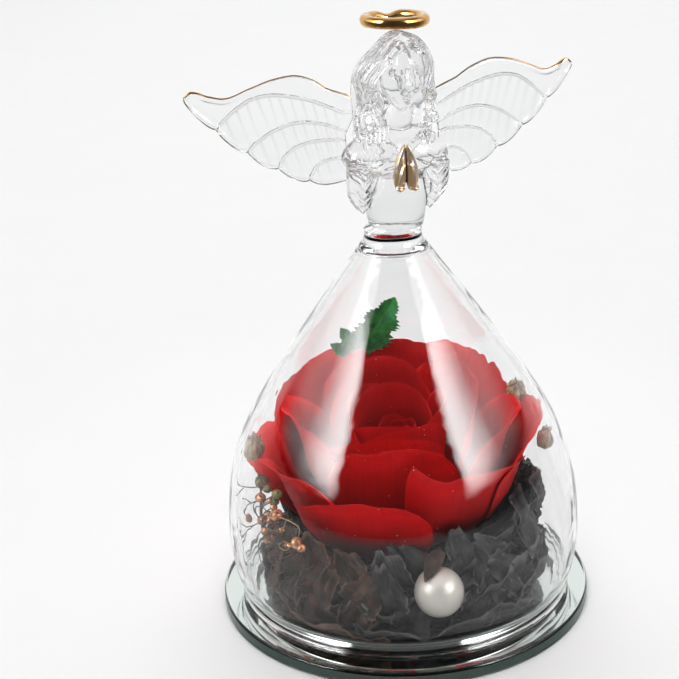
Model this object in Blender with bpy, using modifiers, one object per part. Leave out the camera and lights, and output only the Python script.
"""A preserved rose under a small bell-shaped glass dome, on a round mirror plate.

A clear glass angel stands on the neck of the dome. The origin is the middle of the
plate's underside, +Z is up and the angel faces -Y. Lengths are in millimetres until a
mesh is finished, which turns them into metres.
"""
import math
from math import radians

import bmesh
import bpy
from mathutils import Matrix, Vector

COLLECTION = "preserved_rose_in_glass_dome"
MM = 0.001

# Plate and dome
PLATE_RADIUS = 51.0
PLATE_THICKNESS = 3.4
PLATE_BEVEL = 0.7
PLATE_STEPS = 48
GAP = 0.3
DOME_FOOT_RADIUS = 45.6
DOME_FOOT_WALL = 3.0
DOME_TOP = 105.7
DOME_NECK_RADIUS = 7.5
DOME_HOLLOW_TOP = 100.0
DOME_STEPS = 30

# Angel
FIGURE_BASE = 106.0
FIGURE_SHIFT = 1.2
FIGURE_LEAN = 1.5
FIGURE_GRAIN = 0.8
SHOULDER_HEIGHT = 129.5
HEAD_HEIGHT = 145.9
HEAD_SHIFT = 1.0
HAIR_SPREAD = (1.26, 0.88)
WING_SWEEP = 7.5
WING_THICKNESS = 1.5
WING_ROOT = 14.3
WING_REACH = 51.8
LOBE_DEPTH = 1.5
HALO_RADIUS = 7.3
HALO_WIRE = 1.5
HALO_HEIGHT = 158.7
HANDS_REACH = 10.4

# Flowers: bearings are degrees from the side that the bouquet faces, positive to the right
BOUQUET_HEADING = -17.0
ROSE_TILT = 13.0
ROSE_PIVOT = 38.0
ROSE_RADIUS = 41.0
PETAL_THICKNESS = 0.45
DARK_PETAL_THICKNESS = 0.5
GOLDEN_ANGLE = 137.5
PEARL_RADIUS = 6.4
BERRY_RADIUS = 1.4
FINE_GRAIN = 0.4

# Shares of the faces that the fused pieces keep
FIGURE_KEEP = 0.083
HANDS_KEEP = 0.08
SPRAY_KEEP = 0.09
SPRIG_KEEP = 0.055

ROSE_RED = (0.45, 0.004, 0.008)
CHARCOAL = (0.018, 0.018, 0.02)
DARK_BROWN = (0.045, 0.028, 0.02)
LEAF_GREEN = (0.02, 0.16, 0.035)
STRAW_GOLD = (0.42, 0.29, 0.13)
BRONZE = (0.33, 0.14, 0.06)
GOLD = (0.85, 0.52, 0.18)
PEARL_WHITE = (0.82, 0.78, 0.70)
CLEAR_GLASS = (0.95, 0.97, 0.97)
PLATE_GREEN = (0.55, 0.63, 0.60)

# Nested cups that the rose's petals lie on, from the bud at 0 to the outermost at 1, as
# (radius, height) from the foot of a petal to its rim before the rose is tilted
ROSE_CUPS = (
    (0.0, ((0.9, 30.5), (1.7, 37.0), (2.0, 43.0), (1.6, 49.0), (0.9, 54.0))),
    (0.3, ((3.8, 28.2), (7.6, 33.5), (9.2, 42.0), (9.4, 50.5), (9.2, 58.6))),
    (0.5, ((6.4, 26.2), (12.6, 30.0), (16.2, 38.5), (17.4, 50.0), (17.6, 62.0))),
    (0.7, ((8.8, 24.6), (18.4, 27.5), (23.6, 36.5), (25.4, 49.0), (26.8, 60.4))),
    (0.85, ((10.8, 23.2), (22.4, 24.5), (28.8, 33.0), (32.2, 43.5), (35.4, 52.5))),
    (1.0, ((13.2, 21.2), (27.0, 21.3), (33.8, 29.0), (37.7, 37.8), (41.2, 43.0))),
    (1.15, ((13.5, 21.3), (25.5, 23.6), (33.5, 29.2), (39.2, 34.4), (43.2, 38.4))),
)

# The rose is flattened at its front, where its outer petals stand closer and higher
FRONT_FLATTENING = 0.14
FRONT_LIFT = 7.5

# The ruffle of dark petals that the rose sits in, from its upper inner layer to its lower one
RUFFLE = (
    (0.0, ((12.0, 7.5), (24.0, 10.5), (31.0, 16.5), (33.6, 25.0))),
    (0.5, ((21.0, 6.6), (31.0, 7.6), (35.8, 11.8), (37.4, 19.5))),
    (1.0, ((27.0, 4.4), (35.0, 4.8), (38.9, 7.6), (40.2, 13.6))),
)
RUFFLE_BACK_LIFT = 7.0
RUFFLE_RIGHT_LIFT = 8.0
RUFFLE_LEFT_SPREAD = 1.6
RUFFLE_RIGHT_SPREAD = 3.0
RUFFLE_FRONT_SPREAD = 2.0
RUFFLE_TWIST = 0.09
BROWN_UP_TO = -45.0

# The pearl's nest in the front of the ruffle
PEARL_SPOT = (8.6, -37.8, 19.4)
NEST_BEARING = 12.8
NEST_WIDTH = 15.0
NEST_DEPTH = 3.6
NEST_DROPS = ((0.0, 0.0), (0.3, 0.3), (0.5, 0.62), (1.0, 0.34), (1.2, 0.34))


def spline(points, t):
    """The place at t, from 0 to 1, on a smooth curve through the points, which share t evenly."""
    last = len(points) - 1
    place = min(max(t, 0.0), 1.0) * last
    i = min(int(place), last - 1)
    f = place - i
    b = Vector(points[i])
    c = Vector(points[i + 1])
    a = Vector(points[i - 1]) if i > 0 else 2 * b - c
    d = Vector(points[i + 2]) if i + 2 <= last else 2 * c - b
    square = (2 * a - 5 * b + 4 * c - d) * f ** 2
    cube = (3 * b - 3 * c + d - a) * f ** 3
    return 0.5 * (2 * b + (c - a) * f + square + cube)


def between(cups, q, s):
    """The (radius, height) at share s up the cup q, blended from the two named cups next to it."""
    for (q0, lower), (q1, upper) in zip(cups, cups[1:]):
        if q <= q1 or q1 == cups[-1][0]:
            f = (q - q0) / (q1 - q0)
            return spline(lower, s).lerp(spline(upper, s), f)


def material(name, colour, roughness, metallic=0.0, transmission=0.0, ior=1.45):
    found = bpy.data.materials.get(name)
    if found:
        return found
    made = bpy.data.materials.new(name)
    made.use_nodes = True
    shader = made.node_tree.nodes["Principled BSDF"]
    shader.inputs["Base Color"].default_value = (*colour, 1.0)
    shader.inputs["Roughness"].default_value = roughness
    shader.inputs["Metallic"].default_value = metallic
    shader.inputs["Transmission Weight"].default_value = transmission
    shader.inputs["IOR"].default_value = ior
    made.diffuse_color = (*colour, 1.0)
    return made


def clear_glass():
    return material("clear glass", CLEAR_GLASS, 0.02, transmission=1.0, ior=1.47)


def gold_lustre():
    return material("gold lustre", GOLD, 0.18, metallic=1.0)


def add_object(name, bm, finish, sharp=40.0, matrix=None):
    """A named object from a bmesh drawn in millimetres, placed by a matrix also in millimetres."""
    bmesh.ops.scale(bm, vec=Vector((MM, MM, MM)), verts=bm.verts)
    mesh = bpy.data.meshes.new(name)
    bm.to_mesh(mesh)
    bm.free()
    mesh.materials.append(finish)
    mesh.shade_smooth()
    mesh.set_sharp_from_angle(angle=radians(sharp))
    obj = bpy.data.objects.new(name, mesh)
    bpy.data.collections[COLLECTION].objects.link(obj)
    if matrix:
        placed = matrix.copy()
        placed.translation *= MM
        obj.matrix_world = placed
    return obj


def solidify(obj, thickness):
    wall = obj.modifiers.new("thickness", "SOLIDIFY")
    wall.thickness = thickness * MM
    wall.offset = 0.0
    wall.use_even_offset = False
    return obj


def turned(name, profile, steps, finish, sharp=30.0, matrix=None):
    """A round piece from its (radius, height) profile, which runs down its outer side."""
    bm = bmesh.new()
    verts = [bm.verts.new((radius, 0.0, height)) for radius, height in profile]
    for a, b in zip(verts, verts[1:]):
        bm.edges.new((a, b))
    obj = add_object(name, bm, finish, sharp, matrix)
    turn = obj.modifiers.new("turn", "SCREW")
    turn.axis = "Z"
    turn.angle = radians(360)
    turn.steps = steps
    turn.render_steps = steps
    turn.use_merge_vertices = True
    turn.merge_threshold = 0.00001
    turn.use_smooth_shade = True
    return obj


def sheet(name, place, across, along, thickness, finish, matrix=None):
    """A thin sheet whose middle lies at place(u, v), u from -1 to 1 across it and v from 0 to 1 up it."""
    bm = bmesh.new()
    bmesh.ops.create_grid(bm, x_segments=across, y_segments=along, size=1.0)
    for vert in bm.verts:
        vert.co = place(vert.co.x, (vert.co.y + 1) / 2)
    return solidify(add_object(name, bm, finish, 60.0, matrix), thickness)


def tube_form(bm, points, radii, around=8, along=10, end=0.35):
    """Adds a closed round strand along a smooth curve, with the radii blended along it."""
    path = [spline(points, i / along) for i in range(along + 1)]
    girths = [(radius, 0.0) for radius in radii]
    frames = []
    side = Vector((1, 0, 0))
    for i, at in enumerate(path):
        ahead = (path[min(i + 1, along)] - path[max(i - 1, 0)]).normalized()
        if abs(side.dot(ahead)) > 0.99:
            side = Vector((0, 1, 0))
        side = (side - ahead * side.dot(ahead)).normalized()
        frames.append((at, side.copy(), ahead.cross(side)))
    made = bmesh.ops.create_uvsphere(bm, u_segments=around, v_segments=along, radius=1.0)
    for vert in made["verts"]:
        polar = math.acos(min(max(vert.co.z, -1.0), 1.0))
        turn = math.atan2(vert.co.y, vert.co.x)
        at, right, up = frames[round(polar / math.pi * along)]
        girth = spline(girths, polar / math.pi)[0] if len(radii) > 1 else radii[0]
        girth *= max(math.sin(polar), 0.0) ** end
        vert.co = at - right * math.cos(turn) * girth + up * math.sin(turn) * girth


def ball_form(bm, centre, radii, around=14, rings=9, turn=None):
    """Adds an ellipsoid of three radii, turned by a matrix where one is given."""
    made = bmesh.ops.create_uvsphere(bm, u_segments=around, v_segments=rings, radius=1.0)
    shape = Matrix.Diagonal((*radii, 1.0))
    if turn:
        shape = turn @ shape
    bmesh.ops.transform(bm, matrix=Matrix.Translation(centre) @ shape, verts=made["verts"])


def fuse(obj, grain, keep):
    """Melts the overlapping closed forms of an object into one skin, then thins its faces."""
    melt = obj.modifiers.new("melt", "REMESH")
    melt.mode = "VOXEL"
    melt.voxel_size = grain * MM
    melt.use_smooth_shade = True
    thin = obj.modifiers.new("thin", "DECIMATE")
    thin.ratio = keep
    thin.use_collapse_triangulate = True
    return obj


def bouquet_matrix():
    return Matrix.Rotation(radians(BOUQUET_HEADING), 4, "Z")


def rose_matrix():
    """The rose leans towards its front about a point on its axis."""
    pivot = Matrix.Translation((0, 0, ROSE_PIVOT))
    lean = pivot @ Matrix.Rotation(radians(ROSE_TILT), 4, "X") @ pivot.inverted()
    return bouquet_matrix() @ lean


def figure_matrix():
    """The figure's lean, about the foot where it is fused to the dome."""
    foot = Matrix.Translation((0, 0, DOME_TOP))
    lean = foot @ Matrix.Rotation(radians(FIGURE_LEAN), 4, "Y") @ foot.inverted()
    return Matrix.Translation((FIGURE_SHIFT, 0, 0)) @ lean


def around_axis(bearing, radius, height):
    """A place by its bearing in degrees from the front, its radius and its height."""
    angle = radians(bearing)
    return Vector((radius * math.sin(angle), -radius * math.cos(angle), height))


def build_plate():
    inner = PLATE_RADIUS - PLATE_BEVEL
    top = PLATE_THICKNESS
    profile = (
        (0.0, top),
        (inner, top),
        (PLATE_RADIUS, top - PLATE_BEVEL),
        (PLATE_RADIUS, PLATE_BEVEL * 0.6),
        (PLATE_RADIUS - PLATE_BEVEL * 0.6, 0.0),
        (0.0, 0.0),
    )
    finish = material("mirror plate", PLATE_GREEN, 0.08, metallic=0.6)
    turned("mirror_base", profile, PLATE_STEPS, finish, sharp=20.0)


def dome_outer():
    """The dome's outer (radius, height) points from the neck down to the foot."""
    foot = PLATE_THICKNESS + GAP
    waist = ((DOME_NECK_RADIUS, DOME_TOP), (DOME_NECK_RADIUS + 0.2, 103.6), (8.7, 101.6))
    flank = (
        (8.7, 101.6), (12.6, 95.5), (19.6, 85.5), (27.0, 74.5), (34.2, 64.5), (40.4, 54.5),
        (44.9, 44.5), (47.5, 33.5), (48.3, 21.0), (47.3, 11.5), (46.0, 7.4),
    )
    bell = [spline(flank, i / 8) for i in range(9)]
    rolled = (
        (DOME_FOOT_RADIUS - 0.3, 6.8),
        (DOME_FOOT_RADIUS, foot + 1.9),
        (DOME_FOOT_RADIUS, foot + 0.6),
        (DOME_FOOT_RADIUS - 0.6, foot),
    )
    return list(waist[:-1]) + [tuple(point) for point in bell] + list(rolled)


def dome_inner():
    """The hollow's (radius, height) points from the foot up to the closed top."""
    foot = PLATE_THICKNESS + GAP
    flank = (
        (45.6, 10.0), (46.9, 20.0), (46.2, 33.5), (43.6, 44.2), (39.2, 53.9), (33.1, 63.7),
        (25.9, 73.8), (18.5, 84.9), (11.5, 94.8), (7.4, 99.2),
    )
    bell = [spline(flank, i / 7) for i in range(8)]
    mouth = [(DOME_FOOT_RADIUS - DOME_FOOT_WALL, foot), (DOME_FOOT_RADIUS - DOME_FOOT_WALL + 0.4, foot + 2.6)]
    crown = [(4.2, DOME_HOLLOW_TOP - 0.1), (0.0, DOME_HOLLOW_TOP)]
    return mouth + [tuple(point) for point in bell] + crown


def build_dome():
    profile = [(0.0, DOME_TOP)] + dome_outer() + dome_inner()
    turned("glass_dome", profile, DOME_STEPS, clear_glass(), sharp=50.0)


def hair_locks(side):
    """Paths and girths of the waves of hair that fall on one side of the face, 1 for the left."""
    spread = HAIR_SPREAD[side > 0]
    outer = (
        (4.6, 1.2, 153.0), (8.3, 0.6, 147.0), (9.6, 0.2, 141.5),
        (8.6, -1.2, 136.0), (9.2, -2.0, 131.0), (7.8, -3.2, 127.0),
    )
    middle = (
        (3.8, -1.6, 153.6), (7.3, -2.6, 148.5), (8.2, -2.6, 142.5),
        (7.5, -3.4, 137.0), (8.0, -4.2, 132.0), (6.6, -5.4, 127.4),
    )
    inner = (
        (1.2, -3.6, 154.2), (5.2, -4.8, 151.2), (6.6, -4.6, 145.0),
        (6.2, -4.8, 139.5), (6.6, -5.8, 134.5), (5.4, -6.6, 130.2),
    )
    rear = (
        (4.4, 3.4, 151.5), (7.4, 3.6, 145.5), (8.4, 3.6, 139.0),
        (7.6, 3.6, 133.0), (8.0, 3.8, 128.0), (6.6, 4.0, 124.5),
    )
    girths = ((1.8, 2.0, 1.1), (1.2, 1.5, 0.8), (0.8, 0.9, 0.6), (2.0, 2.3, 1.5))
    for path, girth in zip((outer, middle, inner, rear), girths):
        moved = []
        for x, y, z in path:
            lean = HEAD_SHIFT * min(max((z - 124.0) / 14.0, 0.0), 1.0)
            wide = 1 + (spread - 1) * min(max((x - 5.0) / 3.0, 0.0), 1.0)
            moved.append((side * x * wide + lean, y, z))
        yield moved, girth


def build_figure():
    bm = bmesh.new()
    waist = ((-0.3, 0, FIGURE_BASE), (-0.3, 0, 110.0), (-0.3, 0, 115.0), (0, 0.2, 120.0))
    tube_form(bm, waist, (7.3, 7.7, 8.0, 7.4), 20, 8, 0.02)
    ball_form(bm, (-0.2, 0.4, 123.0), (10.0, 6.6, 9.0))
    ball_form(bm, (0.5, 0.2, 134.0), (3.6, 3.2, 5.0))
    ball_form(bm, (HEAD_SHIFT, -2.0, HEAD_HEIGHT - 0.8), (5.4, 6.0, 8.4), 18, 14)
    ball_form(bm, (HEAD_SHIFT, -7.7, HEAD_HEIGHT - 1.6), (0.8, 0.8, 1.6))
    ball_form(bm, (HEAD_SHIFT, 2.4, HEAD_HEIGHT + 2.0), (7.0, 6.2, 9.0), 18, 14)
    ball_form(bm, (HEAD_SHIFT - 0.6, 4.4, 138.5), (8.4, 3.4, 13.5), 16, 12)
    for side in (1, -1):
        ball_form(bm, (side * 6.0 - 0.2, 1.4, 141.0), (4.6, 3.6, 10.0), 16, 12)
        ball_form(bm, (side * 8.0 - 0.4, 0.6, SHOULDER_HEIGHT - 1.4), (5.8, 5.0, 5.2))
        arm = ((11.2, 0.4, SHOULDER_HEIGHT - 3.0), (11.8, -1.0, 122.0), (11.2, -3.0, 116.0))
        drape = ((11.6, -2.8, 116.6), (10.8, -4.2, 113.6), (9.4, -4.6, 111.4))
        forearm = ((10.8, -3.4, 117.6), (7.0, -6.4, 118.4), (4.4, -8.2, 120.4))
        fold = ((12.0, -1.2, 126.0), (8.8, -4.8, 123.0), (6.0, -6.8, 122.2))
        strands = (
            (arm, (3.0, 3.0, 2.8)), (drape, (2.6, 2.2, 1.2)),
            (forearm, (2.3, 2.2, 1.5)), (fold, (1.0, 1.2, 0.7)),
        )
        for points, girths in strands:
            tube_form(bm, [(side * x - 0.7, y, z) for x, y, z in points], girths, 12, 8, 0.4)
        for points, girths in hair_locks(side):
            tube_form(bm, points, girths, 8, 14, 0.4)
    figure = add_object("angel_figure", bm, clear_glass(), 60.0, figure_matrix())
    fuse(figure, FIGURE_GRAIN, FIGURE_KEEP)


def height_at(points, x):
    """The height at x on straight runs between points whose x rises."""
    for (x0, z0), (x1, z1) in zip(points, points[1:]):
        if x <= x1:
            return z0 + (z1 - z0) * (x - x0) / (x1 - x0)
    return points[-1][1]


def wing_upper(x):
    """The wing's upper edge, a long arch that dips before its raised tip."""
    edge = (
        (12.0, 139.6), (15.6, 143.0), (20.0, 145.4), (25.8, 146.9), (32.5, 146.2), (38.0, 144.4),
        (43.0, 142.6), (46.6, 143.4), (50.0, 144.8), (51.8, 143.4),
    )
    return height_at(edge, x)


def wing_lower(x):
    """The wing's lower edge: a run of lobes that meet in notches, each bulging downwards."""
    notches = ((14.3, 119.4), (22.2, 119.8), (29.8, 123.6), (37.2, 128.4), (44.6, 134.9), (51.8, 143.0))
    for (x0, z0), (x1, z1) in zip(notches, notches[1:]):
        if x <= x1:
            f = min(max((x - x0) / (x1 - x0), 0.0), 1.0)
            return z0 + (z1 - z0) * f - LOBE_DEPTH * math.sin(math.pi * f) ** 0.7
    return notches[-1][1]


def wing_place(u, v, hair, sleeve):
    """The wing's middle surface: u from -1 at the root to 1 at the tip, v up it."""
    share = (u + 1) / 2
    x = WING_ROOT + (WING_REACH - WING_ROOT) * share
    low = wing_lower(x)
    high = wing_upper(x - 2.2 * (1 - share))
    z = low + (high - low) * v
    if share < 0.001:
        x = height_at(((118.0, sleeve), (130.5, sleeve), (135.0, hair + 0.8), (142.0, hair)), z)
    camber = 0.8 * math.sin(math.pi * v)
    return x, 1.0 + camber, z


def build_wings():
    """Both wings, whose roots follow the hair and the sleeve on their own sides."""
    wings = (("angel_wing_left", 1, 11.9, 14.2, 0.0, 1.0), ("angel_wing_right", -1, 12.6, 14.6, 2.0, 1.022))
    for name, side, hair, sleeve, droop, reach in wings:
        pivot = Matrix.Translation((0, 0, SHOULDER_HEIGHT))
        turn = pivot @ Matrix.Rotation(radians(droop), 4, "Y") @ pivot.inverted()
        turn = Matrix.Rotation(radians(WING_SWEEP), 4, "Z") @ turn

        def place(u, v):
            x, y, z = turn @ Vector(wing_place(u, v, hair, sleeve))
            return side * x * reach, y, z
        sheet(name, place, 15, 4, WING_THICKNESS, clear_glass(), figure_matrix())


def build_hands():
    bm = bmesh.new()
    for side in (1, -1):
        palm = ((side * 1.6, 0.0, 118.2), (side * 1.7, -0.2, 122.3), (side * 0.7, 0.1, 130.6))
        palm = [(x - 0.9, y - HANDS_REACH, z) for x, y, z in palm]
        tube_form(bm, palm, (1.5, 1.8, 1.4, 0.7), 10, 10, 0.4)
    hands = add_object("praying_hands", bm, gold_lustre(), 60.0, figure_matrix())
    fuse(hands, FINE_GRAIN, HANDS_KEEP)


def build_halo():
    bpy.ops.mesh.primitive_torus_add(
        major_segments=24, minor_segments=6, major_radius=HALO_RADIUS * MM, minor_radius=HALO_WIRE * MM
    )
    halo = bpy.context.object
    halo.name = "halo"
    halo.data.name = "halo"
    placed = figure_matrix() @ Matrix.Translation((-0.1, 0.3, HALO_HEIGHT))
    placed.translation *= MM
    halo.matrix_world = placed
    halo.data.materials.append(gold_lustre())
    halo.data.shade_smooth()
    for collection in halo.users_collection:
        collection.objects.unlink(halo)
    bpy.data.collections[COLLECTION].objects.link(halo)


def rose_petals():
    """Each petal's bearing, cup, half width, height share, shoulder drop, lip and raised corner in mm."""
    bud = [(40 + GOLDEN_ANGLE * i, 0.06 + 0.048 * i, 84 - 2 * i, 1.0, 0.12, 0.0, 0.0) for i in range(5)]
    heart = [(150 + GOLDEN_ANGLE * i, 0.31 + 0.056 * i, 66 - i, 1.0, 0.18, 0.3, 0.0) for i in range(6)]
    guard = [
        (-4, 0.655, 50, 1.00, 0.20, 0.8, 0.0),
        (178, 0.695, 56, 1.00, 0.14, 0.6, 0.0),
        (-90, 0.735, 44, 1.00, 0.20, 1.2, 0.0),
        (86, 0.765, 44, 0.99, 0.18, 1.2, 0.0),
        (39, 0.83, 38, 0.97, 0.04, 1.2, 9.0),
        (-140, 0.835, 40, 1.00, 0.22, 1.2, 0.0),
        (140, 0.82, 38, 0.98, 0.22, 1.0, 0.0),
        (-60, 0.885, 33, 0.97, 0.20, 1.2, 0.0),
        (-21, 0.945, 36, 0.98, 0.16, 1.4, 3.0),
        (92, 0.955, 34, 0.97, 0.22, 1.2, 0.0),
        (-104, 1.15, 26, 0.98, 0.30, 0.6, 0.0),
        (-172, 0.985, 34, 0.96, 0.24, 1.2, 0.0),
    ]
    return bud + heart + guard


def rose_place(bearing, cup, half_width, top, shoulder, lip, corner):
    """The middle surface of one petal of the rose, whose left corner may be raised."""
    def place(u, v):
        rim = top * (1 - shoulder * abs(u) ** 2.6)
        s = 0.03 + (rim - 0.03) * v
        spread = 0.32 + 0.68 * math.sin(math.pi / 2 * min(1.0, 1.3 * v + 0.08))
        flare = 0.012 * abs(u) ** 3 * v
        radius, height = between(ROSE_CUPS, cup + flare, s)
        roll = max(0.0, (v - 0.7) / 0.3) ** 2
        raised = corner * max(0.0, (-u - 0.4) / 0.6) ** 2 * v ** 2
        radius += lip * roll - 0.5 * raised
        height += raised - 0.5 * lip * roll
        turned_to = bearing + half_width * spread * u
        front = max(0.0, math.cos(radians(turned_to))) ** 2
        share = radius / ROSE_RADIUS
        radius *= 1 - FRONT_FLATTENING * front * share ** 2
        height += FRONT_LIFT * front * share ** 4
        return around_axis(turned_to, radius, height)
    return place


def build_rose():
    red = material("red petal", ROSE_RED, 0.55)
    matrix = rose_matrix()
    for number, petal in enumerate(rose_petals(), start=1):
        along = 4 if petal[1] > 0.6 else 3
        sheet(f"rose_petal_{number:02d}", rose_place(*petal), 5, along, PETAL_THICKNESS, red, matrix)
    profile = (
        (0.0, 28.4), (3.2, 26.4), (6.4, 24.2), (9.6, 21.7), (11.0, 20.2), (9.4, 18.2),
        (5.2, 15.6), (3.2, 12.4), (3.2, 4.2), (0.0, 4.2),
    )
    turned("rose_stem", profile, 12, material("calyx green", LEAF_GREEN, 0.6), 40.0, matrix)


def ruffle_point(bearing, layer, s):
    """A place on the ruffle, which stands higher at the back and right and gives way to the pearl."""
    nest = math.exp(-(((bearing - NEST_BEARING + 180) % 360 - 180) / NEST_WIDTH) ** 2)
    radius, height = between(RUFFLE, layer, s * (1 - nest * height_at(NEST_DROPS, layer)))
    angle = radians(bearing)
    back = (1 - math.cos(angle)) / 2
    right = max(0.0, math.sin(angle)) ** 2
    upper = max(0.0, s * (1 - layer))
    height += (RUFFLE_BACK_LIFT * back + RUFFLE_RIGHT_LIFT * right) * upper
    front = max(0.0, math.cos(angle)) ** 2
    radius += RUFFLE_LEFT_SPREAD * max(0.0, -math.sin(angle)) * s + RUFFLE_RIGHT_SPREAD * right * upper
    radius += RUFFLE_FRONT_SPREAD * front * s * layer - NEST_DEPTH * nest * upper
    return around_axis(bearing, radius, height)


def dark_petals():
    """Each dark petal's bearing, layer, half width in degrees and height share, in three rings of five."""
    shares = (1.0, 0.88, 0.96, 0.84, 0.92)
    upper = [(-52 + 72 * i, 0.04, 44, shares[i]) for i in range(5)]
    middle = [(-84 + 72 * i, 0.5, 44, shares[(i + 2) % 5]) for i in range(5)]
    lower = [(-50 + 72 * i, 0.94, 44, shares[(i + 3) % 5]) for i in range(5)]
    return upper + middle + lower


def dark_place(bearing, layer, half_width, top):
    """The middle surface of one crumpled dark petal, its left edge inside its neighbour's right one."""
    def place(u, v):
        rim = top * (1 - 0.24 * abs(u) ** 2.2)
        spread = 0.78 + 0.22 * math.sin(math.pi / 2 * v)
        crumple = 0.03 * math.sin(5 * u + 7 * v + bearing) * v
        return ruffle_point(bearing + half_width * spread * u, layer + RUFFLE_TWIST * u + crumple, rim * v)
    return place


def build_dark_petals():
    matrix = bouquet_matrix()
    for number, petal in enumerate(dark_petals(), start=1):
        brown = petal[0] < BROWN_UP_TO
        colour = ("brown petal", DARK_BROWN) if brown else ("charcoal petal", CHARCOAL)
        finish = material(*colour, 0.7)
        sheet(f"dark_petal_{number:02d}", dark_place(*petal), 4, 3, DARK_PETAL_THICKNESS, finish, matrix)


def build_pods():
    """Ribbed seed pods with a small crown, each lying along its own direction."""
    finish = material("dried pod", STRAW_GOLD, 0.6)
    pods = (
        (121, 36.2, 51.0, 3.4, (0.3, -0.5, 0.8)),
        (99, 40.9, 42.4, 2.4, (0.4, -0.3, 0.9)),
        (-90, 39.6, 45.0, 2.6, (-0.2, -0.4, 0.9)),
        (92, 38.4, 32.6, 1.5, (0.6, -0.2, 0.7)),
        (-94, 41.8, 32.8, 1.9, (-0.4, -0.5, 0.6)),
    )
    for number, (bearing, radius, height, size, heading) in enumerate(pods, start=1):
        bm = bmesh.new()
        made = bmesh.ops.create_uvsphere(bm, u_segments=10, v_segments=6, radius=1.0)
        for vert in made["verts"]:
            turn = math.atan2(vert.co.y, vert.co.x)
            rib = 1 + 0.08 * math.cos(5 * turn)
            crown = 0.35 * max(0.0, vert.co.z - 0.75)
            vert.co = (vert.co.x * rib * size, vert.co.y * rib * size, (vert.co.z * 1.12 + crown) * size)
        spot = Matrix.Translation(around_axis(bearing, radius, height))
        aim = Vector(heading).to_track_quat("Z", "Y").to_matrix().to_4x4()
        add_object(f"seed_pod_{number:02d}", bm, finish, 60.0, bouquet_matrix() @ spot @ aim)


def build_berry_spray():
    """Thin twigs that carry round berries, fused into one branching piece."""
    bm = bmesh.new()
    stem = ((-26.8, -26.3, 28.0), (-32.0, -24.5, 30.6), (-36.8, -19.5, 34.0), (-39.4, -14.0, 38.4))
    tube_form(bm, stem, (0.5, 0.45), 6, 8, 0.2)
    twigs = (
        (0.3, (-33.0, -29.0, 28.6)), (0.45, (-37.6, -21.6, 30.4)), (0.6, (-34.6, -24.6, 35.6)),
        (0.85, (-41.0, -11.4, 39.8)), (0.15, (-29.0, -30.6, 26.2)), (0.7, (-40.6, -15.4, 35.0)),
    )
    for share, tip in twigs:
        start = spline(stem, share)
        middle = start.lerp(Vector(tip), 0.5) + Vector((0, 0, 1.0))
        tube_form(bm, (start, middle, tip), (0.45, 0.4), 6, 6, 0.2)
        ball_form(bm, tip, (BERRY_RADIUS,) * 3, 8, 6)
        ball_form(bm, middle + Vector((0.6, -0.9, -0.4)), (BERRY_RADIUS,) * 3, 8, 6)
    ball_form(bm, stem[-1], (BERRY_RADIUS,) * 3, 8, 6)
    finish = material("bronze berry", BRONZE, 0.35, metallic=0.3)
    spray = add_object("berry_spray", bm, finish, 60.0, bouquet_matrix())
    fuse(spray, FINE_GRAIN, SPRAY_KEEP)


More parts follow.
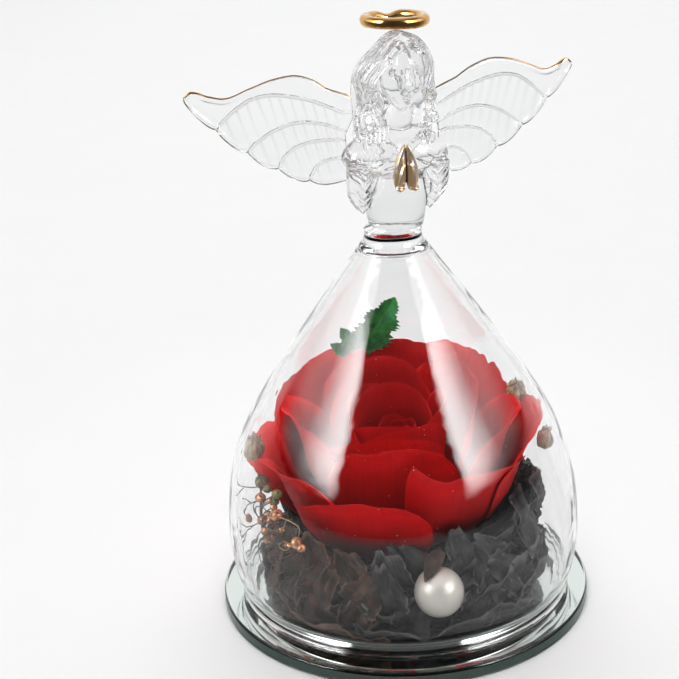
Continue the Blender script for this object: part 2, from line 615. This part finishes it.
def leaf_form(bm, root, tip, width, bulge, thickness=0.8):
    """Adds one toothed leaflet, closed, from its root to its tip, facing the bouquet's front."""
    root = Vector(root)
    tip = Vector(tip)
    ahead = tip - root
    side = ahead.cross(Vector((0, -1, 0.25))).normalized()
    face = side.cross(ahead).normalized()
    made = bmesh.ops.create_uvsphere(bm, u_segments=4, v_segments=16, radius=1.0)
    for vert in made["verts"]:
        polar = math.acos(min(max(vert.co.z, -1.0), 1.0)) / math.pi
        girth = math.sin(math.pi * polar ** 0.75) * (1 + 0.16 * math.cos(polar * math.pi * 10))
        flat = Vector((vert.co.x, vert.co.y, 0))
        if flat.length > 0.001:
            flat.normalize()
        at = root + ahead * polar + face * bulge * math.sin(math.pi * polar)
        vert.co = at + side * flat.x * width * girth + face * flat.y * thickness


def build_leaves():
    green = material("fern green", LEAF_GREEN, 0.6)
    bm = bmesh.new()
    stalk = ((-8.0, 26.0, 56.0), (-8.6, 25.4, 61.0), (-8.8, 23.8, 65.5), (-8.4, 21.6, 69.5))
    tube_form(bm, stalk, (0.7, 0.5), 6, 8, 0.2)
    leaf_form(bm, (-8.8, 21.8, 68.6), (0.6, 16.6, 81.8), 4.4, 0.8)
    leaf_form(bm, (-8.2, 22.2, 68.4), (0.8, 21.0, 71.2), 2.4, 0.5)
    leaf_form(bm, (-9.4, 23.0, 66.8), (-14.8, 18.4, 74.0), 2.7, 0.5)
    leaf_form(bm, (-9.6, 23.6, 65.6), (-17.6, 19.8, 69.2), 1.9, 0.4)
    fuse(add_object("leaf_sprig", bm, green, 60.0, bouquet_matrix()), FINE_GRAIN, SPRIG_KEEP)

    def pointed(u, v):
        width = 2.0 * math.sin(math.pi * min(1.0, 0.12 + 0.88 * v)) ** 0.8 + 0.25
        along = Vector((9.6 - 4.6 * v, -34.2 - 7.6 * v, 29.2 - 4.6 * v + 1.2 * math.sin(math.pi * v)))
        return along + Vector((-0.88, 0.24, 0.41)) * u * width
    sheet("pointed_leaf", pointed, 2, 5, 0.4, material("russet leaf", DARK_BROWN, 0.6), bouquet_matrix())


def build_pearl():
    bm = bmesh.new()
    bmesh.ops.create_uvsphere(bm, u_segments=16, v_segments=8, radius=PEARL_RADIUS)
    place = Matrix.Translation(PEARL_SPOT)
    add_object("pearl", bm, material("pearl", PEARL_WHITE, 0.2), 60.0, bouquet_matrix() @ place)


def main():
    for obj in list(bpy.data.objects):
        bpy.data.objects.remove(obj, do_unlink=True)
    parts = bpy.data.collections.new(COLLECTION)
    bpy.context.scene.collection.children.link(parts)
    build_plate()
    build_dome()
    build_figure()
    build_wings()
    build_hands()
    build_halo()
    build_rose()
    build_dark_petals()
    build_pods()
    build_berry_spray()
    build_leaves()
    build_pearl()


main()
